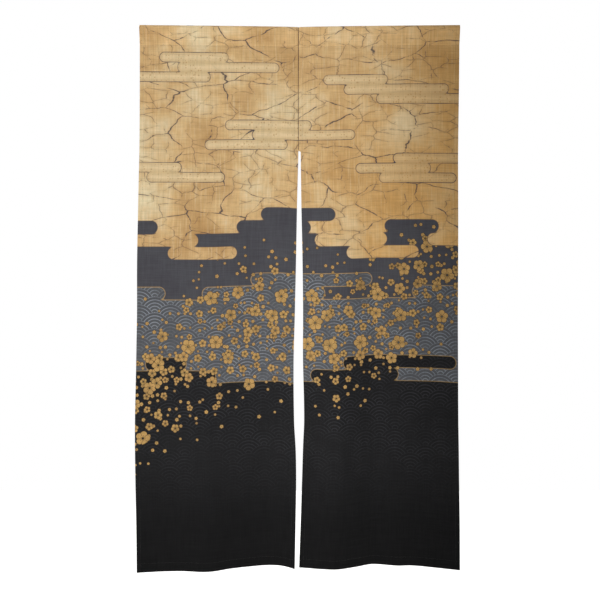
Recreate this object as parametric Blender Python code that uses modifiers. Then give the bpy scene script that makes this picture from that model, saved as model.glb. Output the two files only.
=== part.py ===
"""Noren curtain: two printed cloths, sewn together above and slit below, hung from a rod pocket.

X is to the right, the printed face looks along -Y, and Z is up. The origin is the middle of the top fold.
"""
from collections import namedtuple
from math import asin, cos, pi, sin

import bmesh
import bpy

MM = 0.001

# Driving sizes of the cloth, in metres.
CLOTH_LENGTH = 1.436
PANEL_WIDTH = 0.425
SHEET = 0.0012
HEM_SHEET = 0.0022
SIDE_HEM = 0.012
BOTTOM_HEM = 0.025
HEM_STEP = 0.002
SEAM_GAP = 0.0003
WELD_DISTANCE = 0.0001

# The rod pocket: the top of the cloth, folded to the back over a rod and stitched down.
ROD_ROOM = 0.016
POCKET_DEPTH = 0.053

# The pocket's two walls lie face to face up to this share of their height, and part above it.
WALLS_PART = 0.1

# The top fold dips to the seam, by this much from the corners.
TOP_RISE = 0.0055
TOP_RISE_POWER = 0.65

# The seam ends where the slit starts. The slit reaches its width within a short corner.
SLIT_TOP = 0.3275
SLIT_CORNER = 0.004

# The folds start this far down, or at the slit's top within SEAM_HOLD of the seam, which holds the cloths flat.
FOLD_START = 0.12
SEAM_HOLD = 0.14
MID_HEIGHT = 1.05

# Counts of faces.
COLUMNS = 17
ROWS_ABOVE_SLIT = 6
ROWS_BELOW_SLIT = 24
POCKET_WALL_ROWS = 3
POCKET_ARC_ROWS = 8

# The cloths' upright edges, in millimetres: how far down, and where each edge is along X.
Edge = namedtuple("Edge", "down left_outer left_slit right_slit right_outer")
EDGES = [
    Edge(0, -421, 0, 0, 427),
    Edge(150, -421, 0, 0, 425.5),
    Edge(327.5, -422, -0.8, 5.6, 423),
    Edge(460, -425, -4, 7.4, 423),
    Edge(620, -428, -7, 10.6, 422.5),
    Edge(760, -428, -10.2, 12.2, 421.5),
    Edge(885, -430, -13.3, 12, 421.5),
    Edge(1042, -433, -12, 15, 422),
    Edge(1120, -433, -7.6, 11.8, 423),
    Edge(1200, -431.5, -6.6, 9.4, 424),
    Edge(1310, -429, -8, 6, 425.5),
    Edge(1436, -427, -10.4, 1.6, 426),
]

# The folds, in millimetres: where each crest or hollow runs, measured from the cloth's left edge,
# how far it stands forward at mid height and at the hem, and how far below the origin the hem hangs there.
Fold = namedtuple("Fold", "across mid hem hangs")
LEFT_FOLDS = [
    Fold(0, 4, 10, 1444),
    Fold(108, -3, 2, 1442),
    Fold(192, 4, 10, 1442),
    Fold(256, 0, -1, 1436),
    Fold(343, -6, -12, 1431),
    Fold(390, 1, -7, 1431),
    Fold(425, 8, 0, 1437.5),
]
RIGHT_FOLDS = [
    Fold(0, -24, -1, 1433.5),
    Fold(92, 13, 9, 1436),
    Fold(150, 3, -2, 1432.5),
    Fold(197, -9, -12, 1428),
    Fold(261, -1, -2, 1429),
    Fold(303, 2, -5, 1429.5),
    Fold(366, 0, 4, 1433),
    Fold(425, 9, 10, 1437.5),
]

# Printed cloth: matt, gold above and near black below, given here by its gold, which is duller at the right.
CLOTH_COLOUR = {"left_panel": (0.58, 0.42, 0.25, 1.0), "right_panel": (0.50, 0.35, 0.19, 1.0)}
CLOTH_ROUGHNESS = 0.85


def clear_scene():
    """Removes the objects that the file opens with."""
    for thing in list(bpy.data.objects):
        bpy.data.objects.remove(thing, do_unlink=True)


def read(table, key, column, at):
    """Reads a column of a table on a smooth curve through its rows."""
    keys = [getattr(row, key) for row in table]
    values = [getattr(row, column) for row in table]
    if at <= keys[0]:
        return values[0]
    if at >= keys[-1]:
        return values[-1]
    i = max(n for n, start in enumerate(keys) if start <= at)
    span = keys[i + 1] - keys[i]
    t = (at - keys[i]) / span
    slopes = []
    for n in (i, i + 1):
        low, high = max(n - 1, 0), min(n + 1, len(keys) - 1)
        slopes.append((values[high] - values[low]) / (keys[high] - keys[low]) * span)
    rise = values[i + 1] - values[i]
    a, b = slopes[0] - rise, rise - slopes[1]
    return values[i] + rise * t + t * (1 - t) * (a * (1 - t) + b * t)


def smooth(t):
    """Eases from 0 to 1."""
    t = min(max(t, 0.0), 1.0)
    return t * t * (3 - 2 * t)


def top_line(x):
    """Height of the top fold, which dips to the seam."""
    return TOP_RISE * (abs(x) / PANEL_WIDTH) ** TOP_RISE_POWER


def edge_x(column, down):
    """Place of an upright edge. The slit edges meet at the seam above the slit."""
    x = read(EDGES, "down", column, down / MM) * MM
    if not column.endswith("slit"):
        return x
    side = -1 if column.startswith("left") else 1
    opened = smooth((down - SLIT_TOP) / SLIT_CORNER)
    return side * SEAM_GAP / 2 * (1 - opened) + x * opened


class Cloth:
    """One hung cloth: its edges, its folds and which of its edges is sewn to the other cloth."""

    def __init__(self, name, folds, left_edge, right_edge, seam_at):
        self.name = name
        self.folds = folds
        self.left_edge = left_edge
        self.right_edge = right_edge
        self.seam_at = seam_at

    def x(self, across, down):
        """Place along X, across in metres from the cloth's left edge."""
        left, right = edge_x(self.left_edge, down), edge_x(self.right_edge, down)
        return left + (right - left) * across / PANEL_WIDTH

    def forward(self, across, down):
        """How far the cloth stands forward, on a smooth curve from the folds' start to mid height to the hem."""
        held = 1 - smooth(abs(across - self.seam_at) / SEAM_HOLD)
        start = FOLD_START + (SLIT_TOP - FOLD_START) * held
        if down <= start:
            return 0.0
        mid = read(self.folds, "across", "mid", across / MM) * MM
        hem = read(self.folds, "across", "hem", across / MM) * MM
        if down <= MID_HEIGHT:
            slope = hem / (CLOTH_LENGTH - start) * (MID_HEIGHT - start)
            t = (down - start) / (MID_HEIGHT - start)
            return mid * t * t * (3 - 2 * t) + slope * t * t * (t - 1)
        slope = hem / (CLOTH_LENGTH - start) * (CLOTH_LENGTH - MID_HEIGHT)
        t = (down - MID_HEIGHT) / (CLOTH_LENGTH - MID_HEIGHT)
        return mid + (hem - mid) * t + (slope - (hem - mid)) * t * (1 - t) * (1 - t)

    def hung(self, across, down):
        """A point of the hung cloth, from the pocket's stitch line to the hem."""
        x = self.x(across, down)
        top = top_line(self.x(across, 0.0))
        hangs = read(self.folds, "across", "hangs", across / MM) * MM
        reach = (hangs + top - POCKET_DEPTH) / (CLOTH_LENGTH - POCKET_DEPTH)
        z = top - POCKET_DEPTH - (down - POCKET_DEPTH) * reach
        return x, -self.forward(across, down), z

    def pocket(self, across, turn_y, turn_z):
        """A point of the pocket, its section given about the middle of the rod."""
        rod_down = ROD_ROOM / 2 + SHEET
        middle = top_line(self.x(across, 0.0)) - rod_down
        return self.x(across, rod_down - turn_z), turn_y, middle + turn_z


def pocket_section():
    """Section of the pocket: up the front wall from the stitch line, over the rod, down to the last row."""
    radius = (ROD_ROOM + SHEET) / 2
    drop = POCKET_DEPTH - ROD_ROOM / 2 - SHEET
    lean = asin(radius / drop)
    wall = [WALLS_PART] + [n / POCKET_WALL_ROWS for n in range(1, POCKET_WALL_ROWS)]
    touch_y, touch_z = -radius * cos(lean), -radius * sin(lean)
    front = [(touch_y * t, -drop + (touch_z + drop) * t) for t in wall]
    arc = []
    for n in range(POCKET_ARC_ROWS + 1):
        turn = -lean + (pi + 2 * lean) * n / POCKET_ARC_ROWS
        arc.append((-radius * cos(turn), radius * sin(turn)))
    back = [(-y, z) for y, z in reversed(front)]
    return front + arc + back + [(0.0, -drop)]


def down_rows():
    """Heights of the rows, from the hem up to the pocket's stitch line."""
    hem_top = CLOTH_LENGTH - BOTTOM_HEM
    rows = [CLOTH_LENGTH, hem_top]
    low, high = hem_top - HEM_STEP, SLIT_TOP + SLIT_CORNER
    rows += [low + (high - low) * n / ROWS_BELOW_SLIT for n in range(ROWS_BELOW_SLIT + 1)]
    low, high = SLIT_TOP, POCKET_DEPTH
    rows += [low + (high - low) * n / ROWS_ABOVE_SLIT for n in range(ROWS_ABOVE_SLIT + 1)]
    return rows


def across_columns():
    """Places of the columns, with one on each side of both side hems' inner edges."""
    low, high = SIDE_HEM + HEM_STEP, PANEL_WIDTH - SIDE_HEM - HEM_STEP
    inner = [low + (high - low) * n / COLUMNS for n in range(COLUMNS + 1)]
    return [0.0, SIDE_HEM] + inner + [PANEL_WIDTH - SIDE_HEM, PANEL_WIDTH]


def cloth_material(name):
    """Plain matt finish of the printed cloth."""
    material = bpy.data.materials.new(name + "_cloth")
    material.use_nodes = True
    shader = material.node_tree.nodes["Principled BSDF"]
    shader.inputs["Base Color"].default_value = CLOTH_COLOUR[name]
    shader.inputs["Roughness"].default_value = CLOTH_ROUGHNESS
    shader.inputs["Metallic"].default_value = 0.0
    material.diffuse_color = CLOTH_COLOUR[name]
    return material


def bent_grid(cloth):
    """A grid bent into the hung cloth and its pocket. Its last row lies on the stitch line."""
    columns, rows, section = across_columns(), down_rows(), pocket_section()
    bm = bmesh.new()
    last_row = len(rows) + len(section) - 1
    bmesh.ops.create_grid(bm, x_segments=len(columns) - 1, y_segments=last_row, size=1.0)
    hems = []
    for index, vert in enumerate(bm.verts):
        row, column = divmod(index, len(columns))
        across = columns[column]
        if row < len(rows):
            vert.co = cloth.hung(across, rows[row])
        else:
            vert.co = cloth.pocket(across, *section[row - len(rows)])
        at_side = min(across, PANEL_WIDTH - across) <= SIDE_HEM
        at_foot = row < len(rows) and rows[row] >= CLOTH_LENGTH - BOTTOM_HEM
        if at_side or at_foot:
            hems.append(index)
    mesh = bpy.data.meshes.new(cloth.name)
    bm.to_mesh(mesh)
    bm.free()
    mesh.shade_smooth()
    return mesh, hems


def build_cloth(cloth, collection):
    """One cloth: the bent grid closed at the stitch line and thickened, more so at its hems."""
    mesh, hems = bent_grid(cloth)
    mesh.materials.append(cloth_material(cloth.name))
    panel = bpy.data.objects.new(cloth.name, mesh)
    collection.objects.link(panel)
    thickness = panel.vertex_groups.new(name="thickness")
    thickness.add(range(len(mesh.vertices)), SHEET / HEM_SHEET, "REPLACE")
    thickness.add(hems, 1.0, "REPLACE")
    stitch = panel.modifiers.new("stitch line", "WELD")
    stitch.merge_threshold = WELD_DISTANCE
    solid = panel.modifiers.new("cloth", "SOLIDIFY")
    solid.solidify_mode = "NON_MANIFOLD"
    solid.nonmanifold_thickness_mode = "FIXED"
    solid.thickness = HEM_SHEET
    solid.offset = 0.0
    solid.vertex_group = thickness.name


def main():
    clear_scene()
    collection = bpy.data.collections.new("noren_curtain")
    bpy.context.scene.collection.children.link(collection)
    left = Cloth("left_panel", LEFT_FOLDS, "left_outer", "left_slit", PANEL_WIDTH)
    right = Cloth("right_panel", RIGHT_FOLDS, "right_slit", "right_outer", 0.0)
    for cloth in (left, right):
        build_cloth(cloth, collection)


main()
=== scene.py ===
"""Dresses the noren curtain: its two printed cloths, its sewing, and a plain studio round it."""
from collections import namedtuple
from math import asin, cos, pi, radians, sin, sqrt, tau

import bmesh
import bpy
import numpy as np
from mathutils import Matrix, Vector


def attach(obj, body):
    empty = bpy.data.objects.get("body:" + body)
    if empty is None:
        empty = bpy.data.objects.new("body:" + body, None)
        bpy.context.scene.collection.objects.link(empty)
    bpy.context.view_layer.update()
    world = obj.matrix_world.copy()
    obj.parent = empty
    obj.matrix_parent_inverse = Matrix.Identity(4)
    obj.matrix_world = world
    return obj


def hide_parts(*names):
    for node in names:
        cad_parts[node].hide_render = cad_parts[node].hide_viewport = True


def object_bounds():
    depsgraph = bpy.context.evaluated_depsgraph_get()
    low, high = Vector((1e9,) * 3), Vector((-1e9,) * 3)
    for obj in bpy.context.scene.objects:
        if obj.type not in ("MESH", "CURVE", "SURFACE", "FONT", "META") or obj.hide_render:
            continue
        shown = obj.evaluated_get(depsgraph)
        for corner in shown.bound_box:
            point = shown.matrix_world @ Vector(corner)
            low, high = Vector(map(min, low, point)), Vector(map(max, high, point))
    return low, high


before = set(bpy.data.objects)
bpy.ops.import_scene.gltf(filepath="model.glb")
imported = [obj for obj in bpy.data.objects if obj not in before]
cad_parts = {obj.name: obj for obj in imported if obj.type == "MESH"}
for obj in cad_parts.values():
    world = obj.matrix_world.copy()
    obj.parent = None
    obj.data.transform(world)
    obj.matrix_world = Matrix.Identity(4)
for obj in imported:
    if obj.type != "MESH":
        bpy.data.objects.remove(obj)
cad_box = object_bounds()

bl_info = {
    "name": "Noren Curtain",
    "version": (1, 0, 0),
    "blender": (4, 5, 0),
    "location": "View3D > Sidebar > Noren",
    "description": "Builds the printed cloths, the sewing and the studio of a noren curtain",
    "category": "Object",
}

MM = 0.001

# Sizes of the hung cloth, in metres, as the frame was built from.
CLOTH_LENGTH = 1.436
PANEL_WIDTH = 0.425
SHEET = 0.0012
SEAM_GAP = 0.0003
ROD_ROOM = 0.016
POCKET_DEPTH = 0.053
TOP_RISE = 0.0055
TOP_RISE_POWER = 0.65
SLIT_TOP = 0.3275
SLIT_CORNER = 0.004
SLIT_EASE = 0.22
SLIT_TURN = 0.036
FOLD_START = 0.12
SEAM_HOLD = 0.14
MID_HEIGHT = 1.05

# The cloths' upright edges, in millimetres: how far down, and where each edge is along X.
Edge = namedtuple("Edge", "down left_outer left_slit right_slit right_outer")
EDGES = [
    Edge(0, -421, 0, 0, 427),
    Edge(150, -421, 0, 0, 425.5),
    Edge(327.5, -422, -0.8, 5.6, 423),
    Edge(460, -425, -4, 7.4, 423),
    Edge(620, -428, -7, 10.6, 422.5),
    Edge(760, -428, -10.2, 12.2, 421.5),
    Edge(885, -430, -13.3, 12, 421.5),
    Edge(1042, -433, -12, 15, 422),
    Edge(1120, -433, -7.6, 11.8, 423),
    Edge(1200, -431.5, -6.6, 9.4, 424),
    Edge(1310, -429, -8, 6, 425.5),
    Edge(1436, -427, -10.4, 1.6, 426),
]

# The folds, in millimetres: where each crest or hollow runs, measured from the cloth's left edge,
# how far it stands forward at mid height and at the hem, and how far below the origin the hem hangs there.
Fold = namedtuple("Fold", "across mid hem hangs")
LEFT_FOLDS = [
    Fold(0, 4, 10, 1444),
    Fold(108, -3, 2, 1442),
    Fold(192, 4, 10, 1442),
    Fold(256, 0, -1, 1436),
    Fold(343, -6, -12, 1431),
    Fold(390, 1, -7, 1431),
    Fold(425, 8, 0, 1437.5),
]
RIGHT_FOLDS = [
    Fold(0, -24, -1, 1433.5),
    Fold(92, 13, 9, 1436),
    Fold(150, 3, -2, 1432.5),
    Fold(197, -9, -12, 1428),
    Fold(261, -1, -2, 1429),
    Fold(303, 2, -5, 1429.5),
    Fold(366, 0, 4, 1433),
    Fold(425, 9, 10, 1437.5),
]

# The maker's cut: a double-turned hem takes its own width and this much again, turned under.
TUCK_SHOWN = 0.005
POCKET_SKIRT = 0.003
# The point of a turned hem's section at which it has come round to the front.
AT_FRONT = 13

# Spacing of the mesh over the plain of the cloth.
ROW_STEP = 0.0046
COLUMN_STEP = 0.0062
POCKET_STEP = 0.0028

# The mist bars of the print, in millimetres: from where to where across, how far down, half their height.
# The bars of one cloud flow into each other.
Bar = namedtuple("Bar", "left right down half")
GOLD_MIST = [
    [Bar(-372, -188, 84, 13), Bar(-324, -52, 110, 13), Bar(-470, -236, 136, 13)],
    [Bar(66, 236, 142, 13), Bar(120, 398, 168, 13), Bar(206, 470, 194, 13)],
    [Bar(-196, 34, 262, 13), Bar(-124, 150, 288, 13), Bar(-250, -30, 314, 13)],
    [Bar(-470, -312, 374, 13), Bar(-404, -196, 400, 13)],
    [Bar(252, 470, 352, 13), Bar(152, 352, 378, 13), Bar(214, 420, 404, 13)],
]
GOLD_TONGUES = [
    Bar(-470, -262, 566, 17), Bar(-344, -158, 600, 17), Bar(34, 232, 566, 17), Bar(120, 318, 600, 17),
    Bar(342, 480, 566, 17),
]
CHARCOAL_TONGUES = [
    Bar(-160, 24, 532, 17), Bar(-96, 92, 498, 17), Bar(226, 372, 532, 17), Bar(-480, -372, 532, 17),
]
SLATE_TONGUES = [
    Bar(-250, 60, 706, 17), Bar(-120, 190, 672, 17), Bar(300, 480, 706, 17),
    Bar(-480, -350, 706, 17),
]
BLACK_TONGUES = [
    Bar(-480, -210, 926, 17), Bar(-400, -290, 892, 17), Bar(20, 262, 926, 17), Bar(110, 420, 892, 17),
]
# How the blossoms drift, in metres: each grows in a cell of its own, with a radius between least and most,
# and keeps to a band. Those smaller than LEAST_DRAWN have no lines in their petals.
Drift = namedtuple("Drift", "cell least most band thick shift")
DRIFTS = [
    Drift(0.021, 0.0030, 0.0052, 0.25, 1.2, 0.80),
    Drift(0.037, 0.0070, 0.0115, 0.19, 1.6, 0.81),
    Drift(0.061, 0.0125, 0.0205, 0.17, 1.5, 0.80),
]
LEAST_DRAWN = 0.006
# Shifts the cells in which the blossoms grow, across and down the print.
CELL_SHIFT = (0.37, 0.11, 0.0)

GOLD_FOOT = 0.549
CHARCOAL_FOOT = 0.723
SLATE_FOOT = 0.943

# The camera looks straight at the curtain, from where the photograph's frame is as wide as it has to be.
CAMERA_DISTANCE = 2.2
CAMERA_X = 0.0038
CAMERA_Z = -0.7237
FRAME_WIDTH = 1.5912
SENSOR_WIDTH = 36.0

BLACK = (0.0, 0.0, 0.0)
WHITE = (1.0, 1.0, 1.0)


def to_linear(hex_colour):
    """Turns an sRGB hex colour into the linear values that shaders take."""
    shares = [int(hex_colour[n:n + 2], 16) / 255 for n in (1, 3, 5)]
    return tuple(c / 12.92 if c <= 0.04045 else ((c + 0.055) / 1.055) ** 2.4 for c in shares)


def colour_property(name, description, hex_colour):
    return bpy.props.FloatVectorProperty(
        name=name, description=description, subtype="COLOR", size=3, min=0.0, max=1.0,
        default=to_linear(hex_colour),
    )


def length_property(name, description, metres):
    return bpy.props.FloatProperty(name=name, description=description, default=metres, min=0.0, unit="LENGTH")


class NorenCloth(bpy.types.PropertyGroup):
    """Sizes of the cloth that a maker chooses."""

    thickness: length_property("Thickness", "Thickness of the woven cloth", 0.00045)
    side_hem: length_property("Side Hem", "Width of the double-turned side hems", 0.012)
    bottom_hem: length_property("Bottom Hem", "Height of the double-turned bottom hem", 0.025)
    layer: length_property("Layer", "Distance between two layers of a hem", 0.0006)
    pucker: length_property("Pucker", "How far the cloth puckers along its sewing", 0.00032)
    pucker_length: length_property("Pucker Length", "Length of one pucker", 0.019)
    seam_groove: length_property("Seam Groove", "How deep the middle seam draws the cloths in", 0.0014)
    ripple: length_property("Ripple", "Depth of the cloth's slight unevenness between its folds", 0.0007)


class NorenPrint(bpy.types.PropertyGroup):
    """Colours and scale of the print."""

    gold: colour_property("Gold", "Ground of the upper part", "#d0ae7c")
    gold_light: colour_property("Light Gold", "Palest clouding of the gold", "#e2d6b2")
    gold_dark: colour_property("Dark Gold", "Deepest clouding of the gold", "#a98250")
    amber: colour_property("Amber", "Warm tone of the gold at the right", "#cc9440")
    line: colour_property("Line", "Cracks in the leaf, and line round the mist", "#4d4347")
    charcoal: colour_property("Charcoal", "Ground below the gold", "#454449")
    slate: colour_property("Slate", "Ground of the waves", "#55575a")
    slate_line: colour_property("Slate Line", "Lines of the waves", "#8a9098")
    black: colour_property("Black", "Ground of the foot", "#1c1c1d")
    black_line: colour_property("Black Line", "Lines of the waves in the foot", "#3b3b3f")
    blossom: colour_property("Blossom", "Gold of the blossoms", "#b9955a")
    outline: colour_property("Outline", "Brown line round the blossoms", "#3b3026")
    reverse: colour_property("Reverse", "Unprinted cloth on the reverse", "#cdc6b8")
    wave_radius: length_property("Wave Radius", "Radius of one wave", 0.042)
    leaf: length_property("Leaf", "Side of one square of gold leaf", 0.109)
    crackle: length_property("Crackle", "Width of a piece of the cracked gold leaf", 0.125)


class NorenSewing(bpy.types.PropertyGroup):
    """Sizes and colours of the sewing."""

    pitch: length_property("Pitch", "Length of one machine stitch and its gap", 0.0032)
    stitch: length_property("Stitch", "Length of thread that shows in a stitch", 0.0026)
    thread: length_property("Thread", "Diameter of the sewing thread", 0.00036)
    thread_colour: colour_property("Thread Colour", "Machine thread of the hems", "#2b2724")
    seam_pitch: length_property("Seam Pitch", "Distance between the seam's stitches", 0.0020)
    seam_stitch: length_property("Seam Stitch", "Length of one seam stitch", 0.0038)
    seam_thread: length_property("Seam Thread", "Diameter of the seam's thread", 0.0014)
    seam_colour: colour_property("Seam Colour", "Thread of the middle seam", "#4c2a14")


class NorenStage(bpy.types.PropertyGroup):
    """The studio round the curtain."""

    floor_drop: length_property("Floor Drop", "How far the floor lies below the hem", 0.36)
    floor_size: length_property("Floor Size", "Side of the square floor", 5.0)
    floor_colour: colour_property("Floor Colour", "Pale floor", "#f4f3f1")
    floor_glow: bpy.props.FloatProperty(
        name="Floor Glow", description="How brightly the floor is lit from beneath", default=0.75, min=0.0
    )
    ambient: bpy.props.FloatProperty(
        name="Ambient", description="Light from all round", default=0.24, min=0.0
    )
    key_power: bpy.props.FloatProperty(
        name="Key Power", description="Power of the softbox at the left", default=14.6, min=0.0, unit="POWER"
    )
    fill_power: bpy.props.FloatProperty(
        name="Fill Power", description="Power of the softbox behind", default=30.0, min=0.0, unit="POWER"
    )
    overhead_power: bpy.props.FloatProperty(
        name="Overhead Power", description="Power of the softbox above", default=1.5, min=0.0, unit="POWER"
    )


def smooth(t):
    """Eases from 0 to 1."""
    t = np.clip(t, 0.0, 1.0)
    return t * t * (3 - 2 * t)


def read(table, key, column, at):
    """Reads a column of a table on a smooth curve through its rows."""
    keys = np.array([getattr(row, key) for row in table], float)
    values = np.array([getattr(row, column) for row in table], float)
    low = np.maximum(np.arange(len(keys)) - 1, 0)
    high = np.minimum(np.arange(len(keys)) + 1, len(keys) - 1)
    slopes = (values[high] - values[low]) / (keys[high] - keys[low])
    at = np.clip(at, keys[0], keys[-1])
    i = np.clip(np.searchsorted(keys, at, side="right") - 1, 0, len(keys) - 2)
    span = keys[i + 1] - keys[i]
    t = (at - keys[i]) / span
    rise = values[i + 1] - values[i]
    a, b = slopes[i] * span - rise, rise - slopes[i + 1] * span
    return values[i] + rise * t + t * (1 - t) * (a * (1 - t) + b * t)


def top_line(x):
    """Height of the top fold, which dips to the seam."""
    return TOP_RISE * (np.abs(x) / PANEL_WIDTH) ** TOP_RISE_POWER


def edge_x(column, down, opens_over=SLIT_CORNER):
    """Place of an upright edge. The slit edges meet at the seam above the slit."""
    x = read(EDGES, "down", column, down / MM) * MM
    if not column.endswith("slit"):
        return x
    side = -1 if column.startswith("left") else 1
    opened = smooth((down - SLIT_TOP) / opens_over)
    return side * SEAM_GAP / 2 * (1 - opened) + x * opened


def uneven(t, length, phase):
    """A wave along a line whose height and pace both wander, from -1 to 1."""
    turn = tau * t / length + 1.7 * np.sin(tau * t / (length * 4.3) + phase) + phase
    return np.sin(turn) * (0.62 + 0.38 * np.sin(tau * t / (length * 7.1) + 2 * phase))


class PocketSection:
    """Section of the rod pocket, read by the distance along it from the stitch line at its foot."""

    def __init__(self):
        self.radius = (ROD_ROOM + SHEET) / 2
        self.drop = POCKET_DEPTH - ROD_ROOM / 2 - SHEET
        self.lean = asin(self.radius / self.drop)
        self.wall = sqrt(self.drop ** 2 - self.radius ** 2)
        self.arc = self.radius * (pi + 2 * self.lean)
        self.length = 2 * self.wall + self.arc

    def at(self, run, pinch):
        """Places along Y and Z about the rod's middle. The back wall's foot stands off by pinch."""
        run = np.maximum(run, 0.0)
        turn = -self.lean + np.clip((run - self.wall) / self.radius, 0.0, self.arc / self.radius)
        y, z = -self.radius * np.cos(turn), self.radius * np.sin(turn)
        foot = np.minimum(run, self.length - run) / self.wall
        on_wall = foot < 1.0
        side = np.where(run < self.length / 2, -1.0, 1.0)
        foot_y = side * self.radius * cos(self.lean) * np.maximum(foot, 0.0)
        rise = self.drop - self.radius * sin(self.lean)
        y = np.where(on_wall, foot_y, y)
        z = np.where(on_wall, -self.drop + rise * foot, z)
        back = (side > 0) * np.clip(1 - foot, 0.0, 1.0)
        return y + pinch * back, z


SECTION = PocketSection()


class Cloth:
    """One hung cloth. Its points are read by how far across it lies and how far along, from the top fold."""

    def __init__(self, name, folds, left_edge, right_edge, seam_at, print_at, sizes):
        self.name = name
        self.folds = folds
        self.left_edge = left_edge
        self.right_edge = right_edge
        self.seam_at = seam_at
        self.print_at = print_at
        self.sizes = sizes

    def x(self, across, down):
        left, right = edge_x(self.left_edge, down, SLIT_EASE), edge_x(self.right_edge, down, SLIT_EASE)
        return left + (right - left) * across / PANEL_WIDTH + self.turned_back(across, down)

    def turned_back(self, across, down):
        """How far the slit's edge is folded back at once, while the cloth beside it only eases apart."""
        slit_edge = self.right_edge if self.seam_at > 0 else self.left_edge
        jump = edge_x(slit_edge, down) - edge_x(slit_edge, down, SLIT_EASE)
        return jump * (1 - np.clip(np.abs(across - self.seam_at) / SLIT_TURN, 0.0, 1.0)) ** 2

    def forward(self, across, down):
        """How far the cloth stands forward, on a smooth curve from the folds' start to the hem."""
        held = 1 - smooth(np.abs(across - self.seam_at) / SEAM_HOLD)
        start = FOLD_START + (SLIT_TOP - FOLD_START) * held
        mid = read(self.folds, "across", "mid", across / MM) * MM
        hem = read(self.folds, "across", "hem", across / MM) * MM
        lean = hem / (CLOTH_LENGTH - start)
        t = np.clip((down - start) / (MID_HEIGHT - start), 0.0, 1.0)
        upper = mid * t * t * (3 - 2 * t) + lean * (MID_HEIGHT - start) * t * t * (t - 1)
        t = (down - MID_HEIGHT) / (CLOTH_LENGTH - MID_HEIGHT)
        lower = mid + (hem - mid) * t + (lean * (CLOTH_LENGTH - MID_HEIGHT) - (hem - mid)) * t * (1 - t) ** 2
        return np.where(down <= MID_HEIGHT, upper, lower)

    def in_side_hem(self, across):
        """1 over the side hems, easing to 0 just inside them."""
        inside = np.minimum(across, PANEL_WIDTH - across) - self.sizes.side_hem
        return 1 - smooth(inside / (2 * MM))

    def base(self, across, along):
        """The cloth's main form, before its hems, puckers and unevenness."""
        top = top_line(self.x(across, 0.0 * across))
        down = np.maximum(along, POCKET_DEPTH)
        hangs = read(self.folds, "across", "hangs", across / MM) * MM
        reach = (hangs + top - POCKET_DEPTH) / (CLOTH_LENGTH - POCKET_DEPTH)
        body = (
            self.x(across, down),
            -self.forward(across, down),
            top - POCKET_DEPTH - (down - POCKET_DEPTH) * reach,
        )
        layer = self.sizes.layer
        pinch = 2 * layer + 2 * layer * self.in_side_hem(across)
        y, z = SECTION.at(POCKET_DEPTH - along, pinch)
        rod_down = ROD_ROOM / 2 + SHEET
        pocket = (self.x(across, np.maximum(rod_down - z, 0.0)), y, top - rod_down + z)
        in_pocket = along < POCKET_DEPTH
        return np.stack([np.where(in_pocket, p, b) for p, b in zip(pocket, body)], axis=-1)

    def relief(self, across, along):
        """Slight unevenness that all layers share: puckers beside the sewing, ripples and grooves."""
        sizes = self.sizes
        near_side = np.minimum(across, PANEL_WIDTH - across)
        reach = 9 * MM
        left_wave = uneven(along, sizes.pucker_length, self.seam_at * 9 + 0.4)
        right_wave = uneven(along, sizes.pucker_length * 1.13, self.seam_at * 7 + 2.9)
        side_wave = np.where(across < PANEL_WIDTH / 2, left_wave, right_wave)
        side_line = sizes.side_hem - 1.5 * MM
        lift = sizes.pucker * side_wave * np.exp(-(((near_side - side_line) / reach) ** 2))
        for line, phase in ((CLOTH_LENGTH - sizes.bottom_hem + 2 * MM, 1.3), (POCKET_DEPTH, 3.1)):
            wave = uneven(across, sizes.pucker_length * 1.3, phase + self.seam_at * 5)
            lift = lift + sizes.pucker * wave * np.exp(-(((along - line) / reach) ** 2))
            lift = lift - 0.5 * sizes.thickness * np.exp(-(((along - line) / (1.6 * MM)) ** 2))
        lift = lift - 0.4 * sizes.thickness * np.exp(-(((near_side - side_line) / (1.4 * MM)) ** 2))
        # The seam draws both cloths in to a groove, which ends where the pocket's back wall is sewn down.
        sewn = 1 - smooth((along - SLIT_TOP + 8 * MM) / (8 * MM))
        sewn = sewn * smooth((along - POCKET_DEPTH + SECTION.length) / (14 * MM) - 0.2)
        lift = lift - sizes.seam_groove * sewn * np.exp(-(((across - self.seam_at) / (1.5 * MM)) ** 2))
        open_cloth = smooth((along - POCKET_DEPTH) / 0.15)
        upright = np.sin(across * 47 + 5 * along + 3 * np.sin(along * 6.1))
        broad = upright * np.sin(along * 9.3 + across * 8 + self.seam_at)
        upright = np.sin(across * 83 - 11 * along + 1.3)
        broad = broad + 0.6 * upright * np.sin(along * 21 + 2.2 * np.sin(across * 31))
        return lift + sizes.ripple * broad * open_cloth

    def front(self, across, along):
        """Which way the printed face looks."""
        step = 0.25 * MM
        toward_right = self.base(across + step, along) - self.base(across - step, along)
        downward = self.base(across, along + step) - self.base(across, along - step)
        normal = np.cross(downward, toward_right)
        return normal / np.linalg.norm(normal, axis=-1, keepdims=True)

    def point(self, across, along, behind):
        """A point of the cloth, so far behind its front layer."""
        lift = (self.relief(across, along) - behind)[..., None]
        return self.base(across, along) + self.front(across, along) * lift


def turned_hem(width, layer):
    """A double-turned hem from its hidden end to the front: how far in from the edge, how far behind."""
    points = [(width - TUCK_SHOWN, layer)]
    small = layer / 2
    for n in range(5):
        turn = pi * n / 4
        points.append((width - small + small * sin(turn), layer + small - small * cos(turn)))
    points += [(width - 2.5 * MM, 2 * layer), (width / 2, 2 * layer), (2 * MM, 2 * layer)]
    for n in range(5):
        turn = pi * n / 4
        points.append((layer - layer * sin(turn), layer + layer * cos(turn)))
    front = (1.3 * MM, 2.2 * MM, 3.5 * MM, width / 2, width - 2.5 * MM, width - 1.5 * MM, width)
    points += [(inward, 0.0) for inward in front]
    return points


def between(low, high, step):
    """Even steps from low to high, without the two ends."""
    count = max(int(round((high - low) / step)), 1)
    return [low + (high - low) * n / count for n in range(1, count)]


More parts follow.
